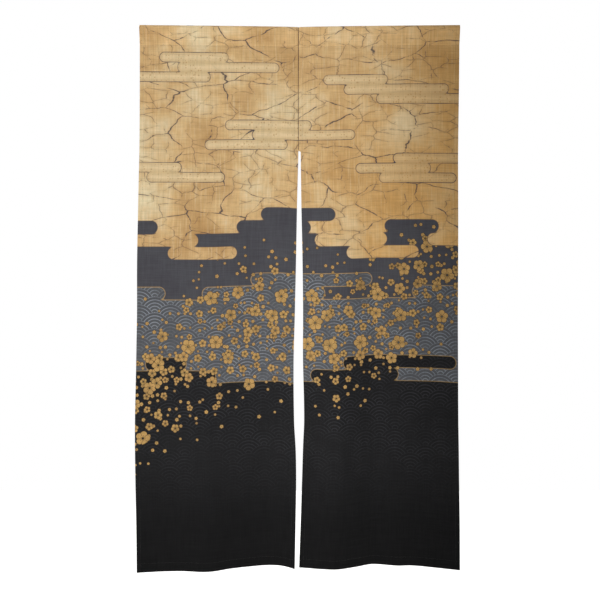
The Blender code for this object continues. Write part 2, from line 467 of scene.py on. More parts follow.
def cloth_columns(sizes):
    """Columns of the cloth from left to right: place across, and depth behind."""
    left = turned_hem(sizes.side_hem, sizes.layer)
    right = [(PANEL_WIDTH - inward, behind) for inward, behind in reversed(left)]
    low, high = sizes.side_hem, PANEL_WIDTH - sizes.side_hem
    middle = [(low + 1.5 * MM, 0.0)]
    middle += [(x, 0.0) for x in between(low + 1.5 * MM, high - 1.5 * MM, COLUMN_STEP)]
    middle += [(high - 1.5 * MM, 0.0)]
    return left + middle + right


def cloth_rows(sizes):
    """Rows of the cloth from the hidden end of the bottom hem up the front and over to the pocket's foot."""
    hem = turned_hem(sizes.bottom_hem, sizes.layer)
    rows = [(CLOTH_LENGTH - inward, behind) for inward, behind in hem]
    low, high = SLIT_TOP + 6 * MM, CLOTH_LENGTH - sizes.bottom_hem - 1.5 * MM
    rows += [(high, 0.0)] + [(s, 0.0) for s in reversed(between(low, high, ROW_STEP))]
    rows += [(SLIT_TOP + n * 0.75 * MM, 0.0) for n in range(8, -2, -1)]
    top = SLIT_TOP - 0.75 * MM
    rows += [(s, 0.0) for s in reversed(between(POCKET_DEPTH + 3 * MM, top, ROW_STEP))]
    rows += [(POCKET_DEPTH + n * MM, 0.0) for n in (3, 1.5, 0.7)]
    loop_end = POCKET_DEPTH - SECTION.length
    rows += [(s, 0.0) for s in reversed(between(loop_end, POCKET_DEPTH + 0.7 * MM, POCKET_STEP))]
    rows += [(loop_end, 0.0), (loop_end - POCKET_SKIRT + sizes.layer, 0.0)]
    small = sizes.layer / 2
    for n in range(1, 4):
        turn = pi * n / 4
        rows.append((loop_end - POCKET_SKIRT + small - small * sin(turn), small - small * cos(turn)))
    rows += [(loop_end - POCKET_SKIRT + sizes.layer, sizes.layer), (loop_end + 8 * MM, sizes.layer)]
    return rows


def add(tree, kind, *inputs, **settings):
    """Adds a node with its settings, feeds its inputs in order or by name, and returns its first output.

    A shader node's kind is given without ShaderNode, and with its operation where it has one. MapRange takes
    its value, then the ends of the range it is read in, then those of the range it is turned to.
    """
    kind, _, operation = kind.partition(" ")
    node = tree.nodes.new(kind if "Node" in kind else "ShaderNode" + kind)
    if operation:
        node.operation = operation
    for name, value in settings.items():
        setattr(node, name, value)
    if inputs and isinstance(inputs[0], dict):
        pairs = [(node.inputs[name], value) for name, value in inputs[0].items()]
    else:
        pairs = zip([socket for socket in node.inputs if socket.enabled], inputs)
    for socket, value in pairs:
        if isinstance(value, bpy.types.NodeSocket):
            tree.links.new(value, socket)
        elif value is not None:
            socket.default_value = value
    shown = [socket for socket in node.outputs if socket.enabled]
    return shown[0] if shown else node


def new_group(name, inputs, outputs):
    """Starts a shader group. Inputs and outputs are pairs of a name and a kind of socket."""
    tree = bpy.data.node_groups.new(name, "ShaderNodeTree")
    for label, kind in inputs:
        tree.interface.new_socket(name=label, in_out="INPUT", socket_type=kind)
    for label, kind in outputs:
        tree.interface.new_socket(name=label, in_out="OUTPUT", socket_type=kind)
    given = tree.nodes.new("NodeGroupInput")
    return tree, given.outputs


def end_group(tree, results):
    """Closes a group with its results by name."""
    out = tree.nodes.new("NodeGroupOutput")
    for name, socket in results.items():
        tree.links.new(socket, out.inputs[name])


def mist_bar_group():
    """Distance to a bar with round ends, negative inside, in metres."""
    names = ("Place X", "Place Y", "Middle", "Half Length", "Down", "Half Height")
    inputs = [(name, "NodeSocketFloat") for name in names]
    tree, given = new_group("mist_bar", inputs, [("Distance", "NodeSocketFloat")])
    side = add(tree, "Math SUBTRACT", given["Place X"], given["Middle"])
    side = add(tree, "Math ABSOLUTE", side)
    side = add(tree, "Math SUBTRACT", side, given["Half Length"])
    side = add(tree, "Math MAXIMUM", side, 0.0)
    up = add(tree, "Math SUBTRACT", given["Place Y"], given["Down"])
    both = add(tree, "CombineXYZ", side, up, 0.0)
    far = add(tree, "VectorMath LENGTH", both)
    distance = add(tree, "Math SUBTRACT", far, given["Half Height"])
    end_group(tree, {"Distance": distance})


def wave_group():
    """Overlapping round waves in staggered rows: how far out a point is in the wave in front, 0 to 1."""
    names = ("Place X", "Place Y", "Radius")
    inputs = [(name, "NodeSocketFloat") for name in names]
    tree, given = new_group("round_waves", inputs, [("Share", "NodeSocketFloat")])
    radius = given["Radius"]
    pitch = add(tree, "Math MULTIPLY", radius, 0.5)
    row = add(tree, "Math DIVIDE", given["Place Y"], pitch)
    row = add(tree, "Math FLOOR", row)
    across = add(tree, "Math MULTIPLY", radius, 2.0)
    column = add(tree, "Math DIVIDE", given["Place X"], across)
    shares = []
    for below in (1.0, 2.0):
        this_row = add(tree, "Math ADD", row, below)
        odd = add(tree, "Math FLOORED_MODULO", this_row, 2.0)
        shifted = add(tree, "Math MULTIPLY_ADD", odd, 0.5, column)
        cell = add(tree, "Math FRACT", shifted)
        cell = add(tree, "Math SUBTRACT", cell, 0.5)
        side = add(tree, "Math MULTIPLY", cell, across)
        middle = add(tree, "Math MULTIPLY", this_row, pitch)
        up = add(tree, "Math SUBTRACT", middle, given["Place Y"])
        both = add(tree, "CombineXYZ", side, up, 0.0)
        far = add(tree, "VectorMath LENGTH", both)
        shares.append(add(tree, "Math DIVIDE", far, radius))
    in_front = add(tree, "Math LESS_THAN", shares[1], 1.0)
    share = add(tree, "Mix", in_front, shares[0], shares[1], data_type="FLOAT")
    end_group(tree, {"Share": share})


def blossom_group():
    """Scattered five-petalled blossoms, each in a cell of its own, with outlined petals and open stamens."""
    inputs = [("Place", "NodeSocketVector")]
    inputs += [(n, "NodeSocketFloat") for n in ("Cell", "Least", "Most", "Band", "Thick", "Shift")]
    outputs = [(n, "NodeSocketFloat") for n in ("Whole", "Petals", "Lines", "Tone")]
    tree, given = new_group("plum_blossoms", inputs, outputs)
    scale = add(tree, "Math DIVIDE", 1.0, given["Cell"])
    moved = add(tree, "VectorMath ADD", given["Place"], CELL_SHIFT)
    cells = add(
        tree, "TexVoronoi", {"Vector": moved, "Scale": scale, "Randomness": 0.72},
        voronoi_dimensions="2D", feature="F1",
    ).node
    chance = add(tree, "SeparateColor", cells.outputs["Color"]).node.outputs
    middle = add(tree, "VectorMath SUBTRACT", cells.outputs["Position"], CELL_SHIFT)
    local = add(tree, "VectorMath SUBTRACT", given["Place"], middle)
    far = add(tree, "VectorMath LENGTH", local)
    xy = add(tree, "SeparateXYZ", local).node.outputs
    turn = add(tree, "Math ARCTAN2", xy["Y"], xy["X"])
    turn = add(tree, "Math MULTIPLY_ADD", chance["Red"], tau, turn)
    turn = add(tree, "Math PINGPONG", turn, pi / 5)
    radius = add(tree, "MapRange", chance["Green"], 0.0, 1.0, given["Least"], given["Most"])
    out_x = add(tree, "Math COSINE", turn)
    out_x = add(tree, "Math MULTIPLY", out_x, far)
    out_y = add(tree, "Math SINE", turn)
    out_y = add(tree, "Math MULTIPLY", out_y, far)
    petal_at = add(tree, "Math MULTIPLY", radius, 0.56)
    side = add(tree, "Math SUBTRACT", out_x, petal_at)
    petal = add(tree, "CombineXYZ", side, out_y, 0.0)
    petal = add(tree, "VectorMath LENGTH", petal)
    petal = add(tree, "Math MULTIPLY_ADD", radius, -0.42, petal)
    # The blossoms keep to a drift that climbs from the lower left to the upper right.
    at = add(tree, "SeparateXYZ", middle).node.outputs
    sway = add(tree, "Math MULTIPLY", at["X"], 8.5)
    sway = add(tree, "Math SINE", sway)
    course = add(tree, "Math MULTIPLY_ADD", sway, 0.055, given["Shift"])
    course = add(tree, "Math MULTIPLY_ADD", at["X"], -0.36, course)
    off = add(tree, "Math SUBTRACT", at["Y"], course)
    off = add(tree, "Math ABSOLUTE", off)
    off = add(tree, "Math DIVIDE", off, given["Band"])
    off = add(tree, "Math POWER", off, given["Thick"])
    grows = add(tree, "Math LESS_THAN", off, chance["Blue"])
    petals = add(tree, "Math MULTIPLY", inside(tree, petal, 0.5 * MM), grows)
    whole = add(tree, "Math SUBTRACT", petal, 0.9 * MM)
    whole = add(tree, "Math MULTIPLY", inside(tree, whole, 0.5 * MM), grows)
    # The petals' gaps, the heart and the five stamens are left open in the gold.
    core = add(tree, "Math MULTIPLY_ADD", radius, -0.10, far)
    stamen_end = add(tree, "Math MULTIPLY_ADD", radius, -0.44, far)
    stamen = add(tree, "Math SUBTRACT", out_y, 0.45 * MM)
    stamen = add(tree, "Math MAXIMUM", stamen, stamen_end)
    fold = add(tree, "Math SUBTRACT", pi / 5, turn)
    fold = add(tree, "Math SINE", fold)
    fold = add(tree, "Math MULTIPLY", fold, far)
    gap = add(tree, "Math SUBTRACT", fold, 0.45 * MM)
    lines = add(tree, "Math MINIMUM", core, stamen)
    lines = add(tree, "Math MINIMUM", lines, gap)
    tone = add(tree, "Math SUBTRACT", chance["Red"], chance["Green"])
    results = {"Whole": whole, "Petals": petals, "Lines": inside(tree, lines, 0.4 * MM), "Tone": tone}
    end_group(tree, results)


def joined_bars(tree, x, y, bars, distance=None):
    """Bars flowing into each other as one mist, joined to what distance already gives."""
    for bar in bars:
        half_length = (bar.right - bar.left) / 2 - bar.half
        one = add(tree, "Group", {
            "Place X": x, "Place Y": y, "Middle": (bar.left + bar.right) / 2 * MM,
            "Half Length": half_length * MM, "Down": bar.down * MM, "Half Height": bar.half * MM,
        }, node_tree=bpy.data.node_groups["mist_bar"])
        if distance is None:
            distance = one
        else:
            distance = add(tree, "Math SMOOTH_MIN", distance, one, 9 * MM)
    return distance


def ground_edge(tree, x, y, foot, down_bars, up_bars):
    """Distance to a ground that ends at foot, with tongues of mist reaching down from it and up into it."""
    edge = add(tree, "Math SUBTRACT", y, foot)
    edge = joined_bars(tree, x, y, down_bars, edge)
    if not up_bars:
        return edge
    cut = joined_bars(tree, x, y, up_bars)
    cut = add(tree, "Math MULTIPLY", cut, -1.0)
    return add(tree, "Math SMOOTH_MAX", edge, cut, 9 * MM)


def inside(tree, distance, soft=0.6 * MM):
    """1 inside a shape and 0 outside it, with a printed edge's softness."""
    return add(tree, "MapRange", distance, soft, -soft)


def along_edge(tree, distance, half_width, soft=0.4 * MM):
    """1 on a line along a shape's edge."""
    near = add(tree, "Math ABSOLUTE", distance)
    near = add(tree, "Math SUBTRACT", near, half_width)
    return inside(tree, near, soft)


def print_group(design):
    """The whole print over both cloths: gold leaf and mist, waves and blossoms, and black at the foot."""
    tree, given = new_group("screen_print", [("Place", "NodeSocketVector")], [("Color", "NodeSocketColor")])
    place = given["Place"]
    xy = add(tree, "SeparateXYZ", place).node.outputs
    x = xy["X"]
    y = add(tree, "Math MULTIPLY", xy["Y"], -1.0)
    flat = add(tree, "CombineXYZ", x, y, 0.0)

    def tint(factor, under, over):
        """Lays one colour over another. Each is a colour of the design or one that is already mixed."""
        mixed = [c if isinstance(c, bpy.types.NodeSocket) else (*c, 1.0) for c in (under, over)]
        return add(tree, "Mix", factor, *mixed, data_type="RGBA")

    # Gold ground: clouding 165 mm across from pale to deep gold, over leaf in squares that differ
    # a little from each other.
    clouding = add(tree, "TexNoise", {
        "Vector": flat, "W": 2.8, "Scale": 1 / (165 * MM), "Detail": 6.0, "Roughness": 0.62,
    }, noise_dimensions="4D")
    pale = add(tree, "MapRange", clouding, 0.49, 0.70)
    deep = add(tree, "MapRange", clouding, 0.50, 0.28)
    gold = tint(pale, design.gold, design.gold_light)
    gold = tint(deep, gold, design.gold_dark)
    leaf = add(tree, "VectorMath DIVIDE", flat, (design.leaf, design.leaf, 1.0))
    leaf_wander = add(tree, "TexNoise", {"Vector": flat, "Scale": 1 / (62 * MM), "Detail": 2.0}).node
    wander = add(tree, "VectorMath MULTIPLY", leaf_wander.outputs["Color"], (0.03, 0.03, 0.0))
    leaf = add(tree, "VectorMath ADD", leaf, wander)
    which = add(tree, "VectorMath FLOOR", leaf)
    leaf_tone = add(tree, "TexWhiteNoise", {"Vector": which}, noise_dimensions="3D")
    leaf_tone = add(tree, "MapRange", leaf_tone, 0.0, 1.0, 0.0, 0.16)
    gold = tint(leaf_tone, gold, design.gold_dark)
    # The ground is brushed on upright: bristle marks are 5 mm wide and run for about 160 mm.
    bristles = add(tree, "VectorMath MULTIPLY", flat, (1 / (5 * MM), 1 / (160 * MM), 0.0))
    bristles = add(tree, "TexNoise", {"Vector": bristles, "Scale": 1.0, "Detail": 3.0, "Roughness": 0.7})
    drag = add(tree, "MapRange", bristles, 0.54, 0.74, 0.0, 0.35)
    gold = tint(drag, gold, design.gold_dark)
    lifted = add(tree, "MapRange", bristles, 0.46, 0.28, 0.0, 0.4)
    gold = tint(lifted, gold, design.gold_light)

    # Towards the lower right the gold warms to amber.
    warm = add(tree, "Math MULTIPLY_ADD", y, 0.5, x)
    warm = add(tree, "MapRange", warm, 0.16, 0.52, 0.0, 0.42)
    gold = tint(warm, gold, design.amber)

    # The leaf has cracked in flat pieces. The cracks bend over 160 mm, wander over 60 mm and are jagged over
    # 13 mm. They open and close along their length, and have stained the leaf beside them.
    torn = add(tree, "VectorMath MULTIPLY", flat, (1.0, 1.9, 1.0))
    for across, reach in ((160 * MM, 90 * MM), (60 * MM, 22 * MM), (13 * MM, 7 * MM)):
        stir = add(tree, "TexNoise", {"Vector": torn, "Scale": 1 / across, "Detail": 2.0}).node
        push = add(tree, "VectorMath MULTIPLY", stir.outputs["Color"], (reach, reach, 0.0))
        torn = add(tree, "VectorMath ADD", torn, push)
    brush = add(tree, "TexNoise", {"Vector": flat, "Scale": 1 / (77 * MM), "Detail": 6.0, "Roughness": 0.7})
    ebb = add(tree, "MapRange", brush, 0.42, 0.56)
    ebb_more = add(tree, "MapRange", brush, 0.56, 0.44)
    for piece, width, strength, shown in (
        (design.crackle, 2.6 * MM, 0.9, ebb), (design.crackle * 0.45, 1.6 * MM, 0.55, ebb_more),
    ):
        crack = add(
            tree, "TexVoronoi", {"Vector": torn, "Scale": 1 / piece, "Randomness": 0.95},
            voronoi_dimensions="2D", feature="DISTANCE_TO_EDGE",
        )
        crack = add(tree, "Math MULTIPLY", crack, piece)
        stain = add(tree, "MapRange", crack, 14 * MM, 0.0, 0.0, 0.6)
        stain = add(tree, "Math MULTIPLY", stain, stain)
        stain = add(tree, "Math MULTIPLY", stain, shown)
        gold = tint(stain, gold, design.gold_dark)
        ink = add(tree, "Math MULTIPLY_ADD", shown, -width, crack)
        ink = add(tree, "MapRange", ink, 0.0, -0.55 * width, 0.0, strength)
        gold = tint(ink, gold, design.line)

    # Mist on the leaf, plain gold shaded to its edge and outlined in brown.
    mist = joined_bars(tree, x, y, GOLD_MIST[0])
    for bars in GOLD_MIST[1:]:
        mist = add(tree, "Math MINIMUM", mist, joined_bars(tree, x, y, bars))
    on_mist = inside(tree, mist)
    plain = tint(0.45, design.gold, design.gold_light)
    # Cut flakes of leaf, up to 5 mm across, are strewn over the mist, each in a cell of 6.5 mm.
    flakes = add(
        tree, "TexVoronoi", {"Vector": flat, "Scale": 1 / (6.5 * MM), "Randomness": 0.9},
        voronoi_dimensions="2D", distance="CHEBYCHEV",
    ).node
    chance = add(tree, "SeparateColor", flakes.outputs["Color"]).node.outputs
    flake = add(tree, "Math MULTIPLY_ADD", chance["Red"], -0.34, flakes.outputs["Distance"])
    flake = add(tree, "MapRange", flake, 0.03, -0.03)
    strewn = add(tree, "Math LESS_THAN", chance["Green"], 0.42)
    flake = add(tree, "Math MULTIPLY", flake, strewn)
    plain = tint(add(tree, "Math MULTIPLY", flake, 0.6), plain, design.gold_dark)
    plain = tint(warm, plain, design.amber)
    gold = tint(add(tree, "Math MULTIPLY", on_mist, 0.88), gold, plain)
    depth = add(tree, "MapRange", mist, -0.012, 0.0, 0.0, 0.40)
    depth = add(tree, "Math MULTIPLY", depth, on_mist)
    gold = tint(depth, gold, design.gold_dark)
    worn = add(tree, "MapRange", brush, 0.34, 0.58, 0.35)
    outline = add(tree, "Math MULTIPLY", along_edge(tree, mist, 0.9 * MM), worn)
    gold = tint(outline, gold, design.line)

    # Grounds below, each ending in tongues of mist.
    charcoal_grain = add(tree, "TexNoise", {
        "Vector": flat, "Scale": 1 / (90 * MM), "Detail": 6.0, "Roughness": 0.6,
    })
    grain = add(tree, "MapRange", charcoal_grain, 0.35, 0.7, 0.0, 0.35)
    charcoal = tint(grain, design.charcoal, design.slate)
    waves = add(
        tree, "Group", {"Place X": x, "Place Y": y, "Radius": design.wave_radius},
        node_tree=bpy.data.node_groups["round_waves"],
    )
    ring = add(tree, "Math PINGPONG", waves, 0.1)
    ring = add(tree, "MapRange", ring, 0.034, 0.020)
    body = add(tree, "MapRange", waves, 0.2, 1.0, 0.0, 0.35)
    slate = tint(body, design.slate, design.charcoal)
    wet = add(tree, "MapRange", charcoal_grain, 0.40, 0.62, 0.15, 0.85)
    slate = tint(add(tree, "Math MULTIPLY", ring, wet), slate, design.slate_line)
    fade = add(tree, "MapRange", y, 0.97, 1.30, 0.75, 0.0)
    foot_line = add(tree, "Math MULTIPLY", ring, fade)
    foot_line = add(tree, "Math MULTIPLY", foot_line, wet)
    black = tint(foot_line, design.black, design.black_line)
    deep = add(tree, "MapRange", y, 1.09, 1.36, 0.0, 0.66, interpolation_type="SMOOTHSTEP")
    black = tint(deep, black, BLACK)
    # Darker still over the last 70 mm towards the hem. This is painted shade where the cloth turns under at
    # the hem.
    hem_painted_shade = add(tree, "MapRange", y, 1.37, 1.44, 0.0, 0.35)
    black = tint(hem_painted_shade, black, BLACK)

    slate_edge = ground_edge(tree, x, y, SLATE_FOOT, [], BLACK_TONGUES)
    dark = tint(inside(tree, slate_edge), black, slate)
    charcoal_edge = ground_edge(tree, x, y, CHARCOAL_FOOT, [], SLATE_TONGUES)
    dark = tint(inside(tree, charcoal_edge), dark, charcoal)
    for edge, strength in ((slate_edge, 0.5), (charcoal_edge, 0.65)):
        trim = add(tree, "Math MULTIPLY", along_edge(tree, edge, 1.0 * MM), strength)
        dark = tint(trim, dark, design.blossom)

    # Blossoms over the dark grounds, the larger over the smaller, their gold worn unevenly.
    worn = add(tree, "TexNoise", {"Vector": flat, "Scale": 1 / (48 * MM), "Detail": 5.0, "Roughness": 0.65})
    worn = add(tree, "MapRange", worn, 0.30, 0.52, 0.55)
    for drift in DRIFTS:
        one = add(tree, "Group", {
            "Place": flat, "Cell": drift.cell, "Least": drift.least, "Most": drift.most,
            "Band": drift.band, "Thick": drift.thick, "Shift": drift.shift,
        }, node_tree=bpy.data.node_groups["plum_blossoms"]).node.outputs
        dark = tint(one["Whole"], dark, design.outline)
        shade = add(tree, "MapRange", one["Tone"], -1.0, 1.0, 0.0, 0.5)
        gilding = tint(shade, design.blossom, design.gold_dark)
        if drift.most > LEAST_DRAWN:
            gilding = tint(one["Lines"], gilding, design.outline)
        petals = add(tree, "Math MULTIPLY", one["Petals"], worn)
        dark = tint(petals, dark, gilding)

    gold_edge = ground_edge(tree, x, y, GOLD_FOOT, GOLD_TONGUES, CHARCOAL_TONGUES)
    whole = tint(inside(tree, gold_edge), dark, gold)
    trim = add(tree, "Math MULTIPLY", along_edge(tree, gold_edge, 0.9 * MM), 0.7)
    whole = tint(trim, whole, design.line)
    end_group(tree, {"Color": whole})


def cloth_surface(tree, place):
    """Height of the woven surface: yarns that pass over and under each other, and the slubs in them."""
    # The real yarns lie 0.5 mm apart. They are drawn 1.5 mm apart, to show from a step away.
    yarns = add(tree, "VectorMath MULTIPLY", place, (1 / (1.5 * MM), 1 / (1.5 * MM), 0.0))
    which = add(tree, "TexChecker", {"Vector": yarns, "Scale": 1.0}).node.outputs["Fac"]
    within = add(tree, "VectorMath FRACTION", yarns)
    within = add(tree, "VectorMath SUBTRACT", within, (0.5, 0.5, 0.0))
    sides = add(tree, "SeparateXYZ", within).node.outputs
    rounds = []
    for name in ("X", "Y"):
        square = add(tree, "Math MULTIPLY", sides[name], sides[name])
        rounds.append(add(tree, "Math MULTIPLY_ADD", square, -3.6, 1.0))
    over = add(tree, "Mix", which, rounds[0], rounds[1], data_type="FLOAT")
    bow = add(tree, "Mix", which, rounds[1], rounds[0], data_type="FLOAT")
    weave = add(tree, "Math MULTIPLY_ADD", bow, 0.35, over)
    # Slubs are thicker lengths of yarn, 60 mm long, both ways of the cloth. They are drawn 3 mm wide, to
    # show. Where many lie together they make faint bands 9 mm wide and 150 mm long.
    slubs = None
    for wide, long, share in ((3 * MM, 60 * MM, 1.0), (9 * MM, 150 * MM, 0.4)):
        for size in ((wide, long, 1.0), (long, wide, 1.0)):
            stretched = add(tree, "VectorMath DIVIDE", place, size)
            streak = add(tree, "TexNoise", {"Vector": stretched, "Scale": 1.0, "Detail": 2.0})
            slubs = add(tree, "Math MULTIPLY_ADD", streak, share, slubs or 0.0)
    return weave, slubs


def new_material(name):
    """A material with an empty tree."""
    material = bpy.data.materials.new(name)
    material.use_nodes = True
    material.node_tree.nodes.clear()
    return material, material.node_tree


def printed_cloth(name, design, soaked_through):
    """Cotton and linen in a plain weave, printed with pigment on its face."""
    # The pigment lies in the yarns, so the face is dull and has no gloss.
    # Slubs show a little lighter or darker.
    material, tree = new_material(name)
    place = add(tree, "UVMap", uv_map="cloth_metres")
    colour = add(tree, "Group", {"Place": place}, node_tree=bpy.data.node_groups["screen_print"])
    weave, slubs = cloth_surface(tree, place)
    if soaked_through:
        # Pigment soaks through in blots 17 mm across, so the reverse is a pale ghost of the face.
        soak = add(tree, "TexNoise", {"Vector": place, "Scale": 1 / (17 * MM), "Detail": 4.0})
        soak = add(tree, "MapRange", soak, 0.3, 0.7, 0.36, 0.48)
        colour = add(tree, "Mix", soak, colour, (*design.reverse, 1.0), data_type="RGBA")
    slub_tone_and_painted_light = add(tree, "MapRange", slubs, 1.05, 1.75, 0.82, 1.06)
    # The weave's height also darkens the colour a little in the hollows between the crossing threads. This is
    # painted shade, laid over the slubs' own tone.
    slub_tone_and_painted_light = add(tree, "Math MULTIPLY_ADD", weave, 0.05, slub_tone_and_painted_light)
    # The pocket's print is painted a little brighter. Partly this is painted light, for the pocket catching
    # more light than the cloth below. Partly it is because its two layers of cloth lose less light through
    # them.
    down = add(tree, "SeparateXYZ", place).node.outputs["Y"]
    doubled_cloth_and_painted_light = add(tree, "MapRange", down, -POCKET_DEPTH - 1 * MM, -POCKET_DEPTH + 1 * MM, 0.0, 0.10)
    slub_tone_and_painted_light = add(tree, "Math ADD", slub_tone_and_painted_light, doubled_cloth_and_painted_light)
    colour = add(tree, "VectorMath SCALE", {"Vector": colour, "Scale": slub_tone_and_painted_light})
    rough = add(tree, "MapRange", slubs, 1.05, 1.75, 0.92, 0.78)
    height = add(tree, "Math MULTIPLY_ADD", slubs, 1.6, weave)
    bump = add(tree, "Bump", {"Strength": 0.8, "Distance": 0.14 * MM, "Height": height})
    shader = add(tree, "BsdfPrincipled", {
        "Base Color": colour, "Roughness": rough, "Normal": bump, "Specular IOR Level": 0.12,
        "Sheen Weight": 0.03, "Sheen Roughness": 0.5,
    })
    add(tree, "OutputMaterial", shader)
    return material


def spun_polyester(name, thread_colour):
    """Sewing thread spun of polyester fibres and dyed."""
    # Its plies catch the light in turn, so it is a dull line of small light and dark turns.
    # It has a faint shine.
    material, tree = new_material(name)
    place = add(tree, "TexCoord").node.outputs["Object"]
    # The plies lie 0.3 mm apart. They are drawn 0.55 mm apart, to show from close by.
    plies = add(tree, "TexNoise", {"Vector": place, "Scale": 1 / (0.55 * MM), "Detail": 1.0})
    shade = add(tree, "MapRange", plies, 0.3, 0.7, 0.75, 1.2)
    tone = add(tree, "VectorMath SCALE", {"Vector": tuple(thread_colour), "Scale": shade})
    bump = add(tree, "Bump", {"Strength": 0.4, "Distance": 0.1 * MM, "Height": plies})
    shader = add(tree, "BsdfPrincipled", {"Base Color": tone, "Roughness": 0.6, "Normal": bump})
    add(tree, "OutputMaterial", shader)
    return material


def painted_floor(stage):
    """Pale emulsion paint on a studio floor, lit from beneath."""
    # It has no grain and casts no shade upwards, so it fades into the white behind the curtain.
    material, tree = new_material("emulsion_painted_floor")
    shader = add(tree, "BsdfPrincipled", {
        "Base Color": (*stage.floor_colour, 1.0), "Roughness": 0.9,
        "Emission Color": (*WHITE, 1.0), "Emission Strength": stage.floor_glow,
    })
    add(tree, "OutputMaterial", shader)
    return material


def new_object(name, mesh):
    thing = bpy.data.objects.new(name, mesh)
    bpy.context.scene.collection.objects.link(thing)
    return thing


def the_cloths(sizes):
    left = Cloth("left_cloth", LEFT_FOLDS, "left_outer", "left_slit", PANEL_WIDTH, -PANEL_WIDTH, sizes)
    right = Cloth("right_cloth", RIGHT_FOLDS, "right_slit", "right_outer", 0.0, 0.0, sizes)
    return left, right


def flat_places(pairs):
    """Where each row or column lies on the flat cloth: the distance walked from the first point to each."""
    walked = [0.0]
    for (a, behind_a), (b, behind_b) in zip(pairs, pairs[1:]):
        walked.append(walked[-1] + sqrt((b - a) ** 2 + (behind_b - behind_a) ** 2))
    return np.array(walked)


def build_cloth(cloth, face, reverse):
    """One cloth as a single sheet with its turned hems and its pocket, with real thickness."""
    sizes = cloth.sizes
    columns, rows = cloth_columns(sizes), cloth_rows(sizes)
    across = np.array([c[0] for c in columns])[None, :] + np.zeros((len(rows), 1))
    along = np.array([r[0] for r in rows])[:, None] + np.zeros((1, len(columns)))
    side_behind = np.array([c[1] for c in columns])[None, :]
    row_behind = np.array([r[1] for r in rows])[:, None]
    # Where a side hem is folded up with the bottom hem, the layers lie a little further apart.
    corner = cloth.in_side_hem(across)
    in_bottom = (np.arange(len(rows)) < len(rows) // 2)[:, None]
    turned = np.minimum(row_behind / (2 * sizes.layer), 1.0)
    extra = 1.3 * sizes.layer * corner * in_bottom
    behind = row_behind + turned * extra + side_behind * (1 - turned) - turned * 0.4 * side_behind
    points = cloth.point(across, along, behind)

    bm = bmesh.new()
    bmesh.ops.create_grid(bm, x_segments=len(columns) - 1, y_segments=len(rows) - 1, size=1.0)
    mesh = bpy.data.meshes.new(cloth.name)
    bm.to_mesh(mesh)
    bm.free()
    mesh.vertices.foreach_set("co", points.reshape(-1))
    mesh.shade_smooth()

    walked_across, walked_along = flat_places(columns), flat_places(rows)
    flat_x = walked_across - walked_across[AT_FRONT] + columns[AT_FRONT][0] + cloth.print_at
    flat_y = walked_along - walked_along[AT_FRONT] - rows[AT_FRONT][0]
    corner_index = np.zeros(len(mesh.loops), np.int32)
    mesh.loops.foreach_get("vertex_index", corner_index)
    flat_x = flat_x[None, :] + cloth.turned_back(across, np.maximum(along, POCKET_DEPTH))
    flat = np.stack([flat_x.reshape(-1)[corner_index], flat_y[corner_index // len(columns)]], axis=-1)
    mesh.uv_layers.new(name="cloth_metres").data.foreach_set("uv", flat.reshape(-1))

    piece = new_object(cloth.name, mesh)
    mesh.materials.append(face)
    mesh.materials.append(reverse)
    solid = piece.modifiers.new("cloth", "SOLIDIFY")
    solid.thickness = sizes.thickness
    solid.offset = 0.0
    solid.material_offset = 1
    solid.material_offset_rim = 1
    mesh.update()
    return piece


class NOREN_OT_cloths(bpy.types.Operator):
    """Builds the two printed cloths"""

    bl_idname = "noren.cloths"
    bl_label = "Build Cloths"

    def execute(self, context):
        sizes, design = context.scene.noren_cloth, context.scene.noren_print
        mist_bar_group()
        wave_group()
        blossom_group()
        print_group(design)
        face = printed_cloth("pigment_printed_cotton_face", design, soaked_through=False)
        reverse = printed_cloth("pigment_printed_cotton_reverse", design, soaked_through=True)
        for cloth, node in zip(the_cloths(sizes), ("left_panel", "right_panel")):
            piece = build_cloth(cloth, face, reverse)
            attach(piece, "root")
            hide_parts(node)
        return {"FINISHED"}


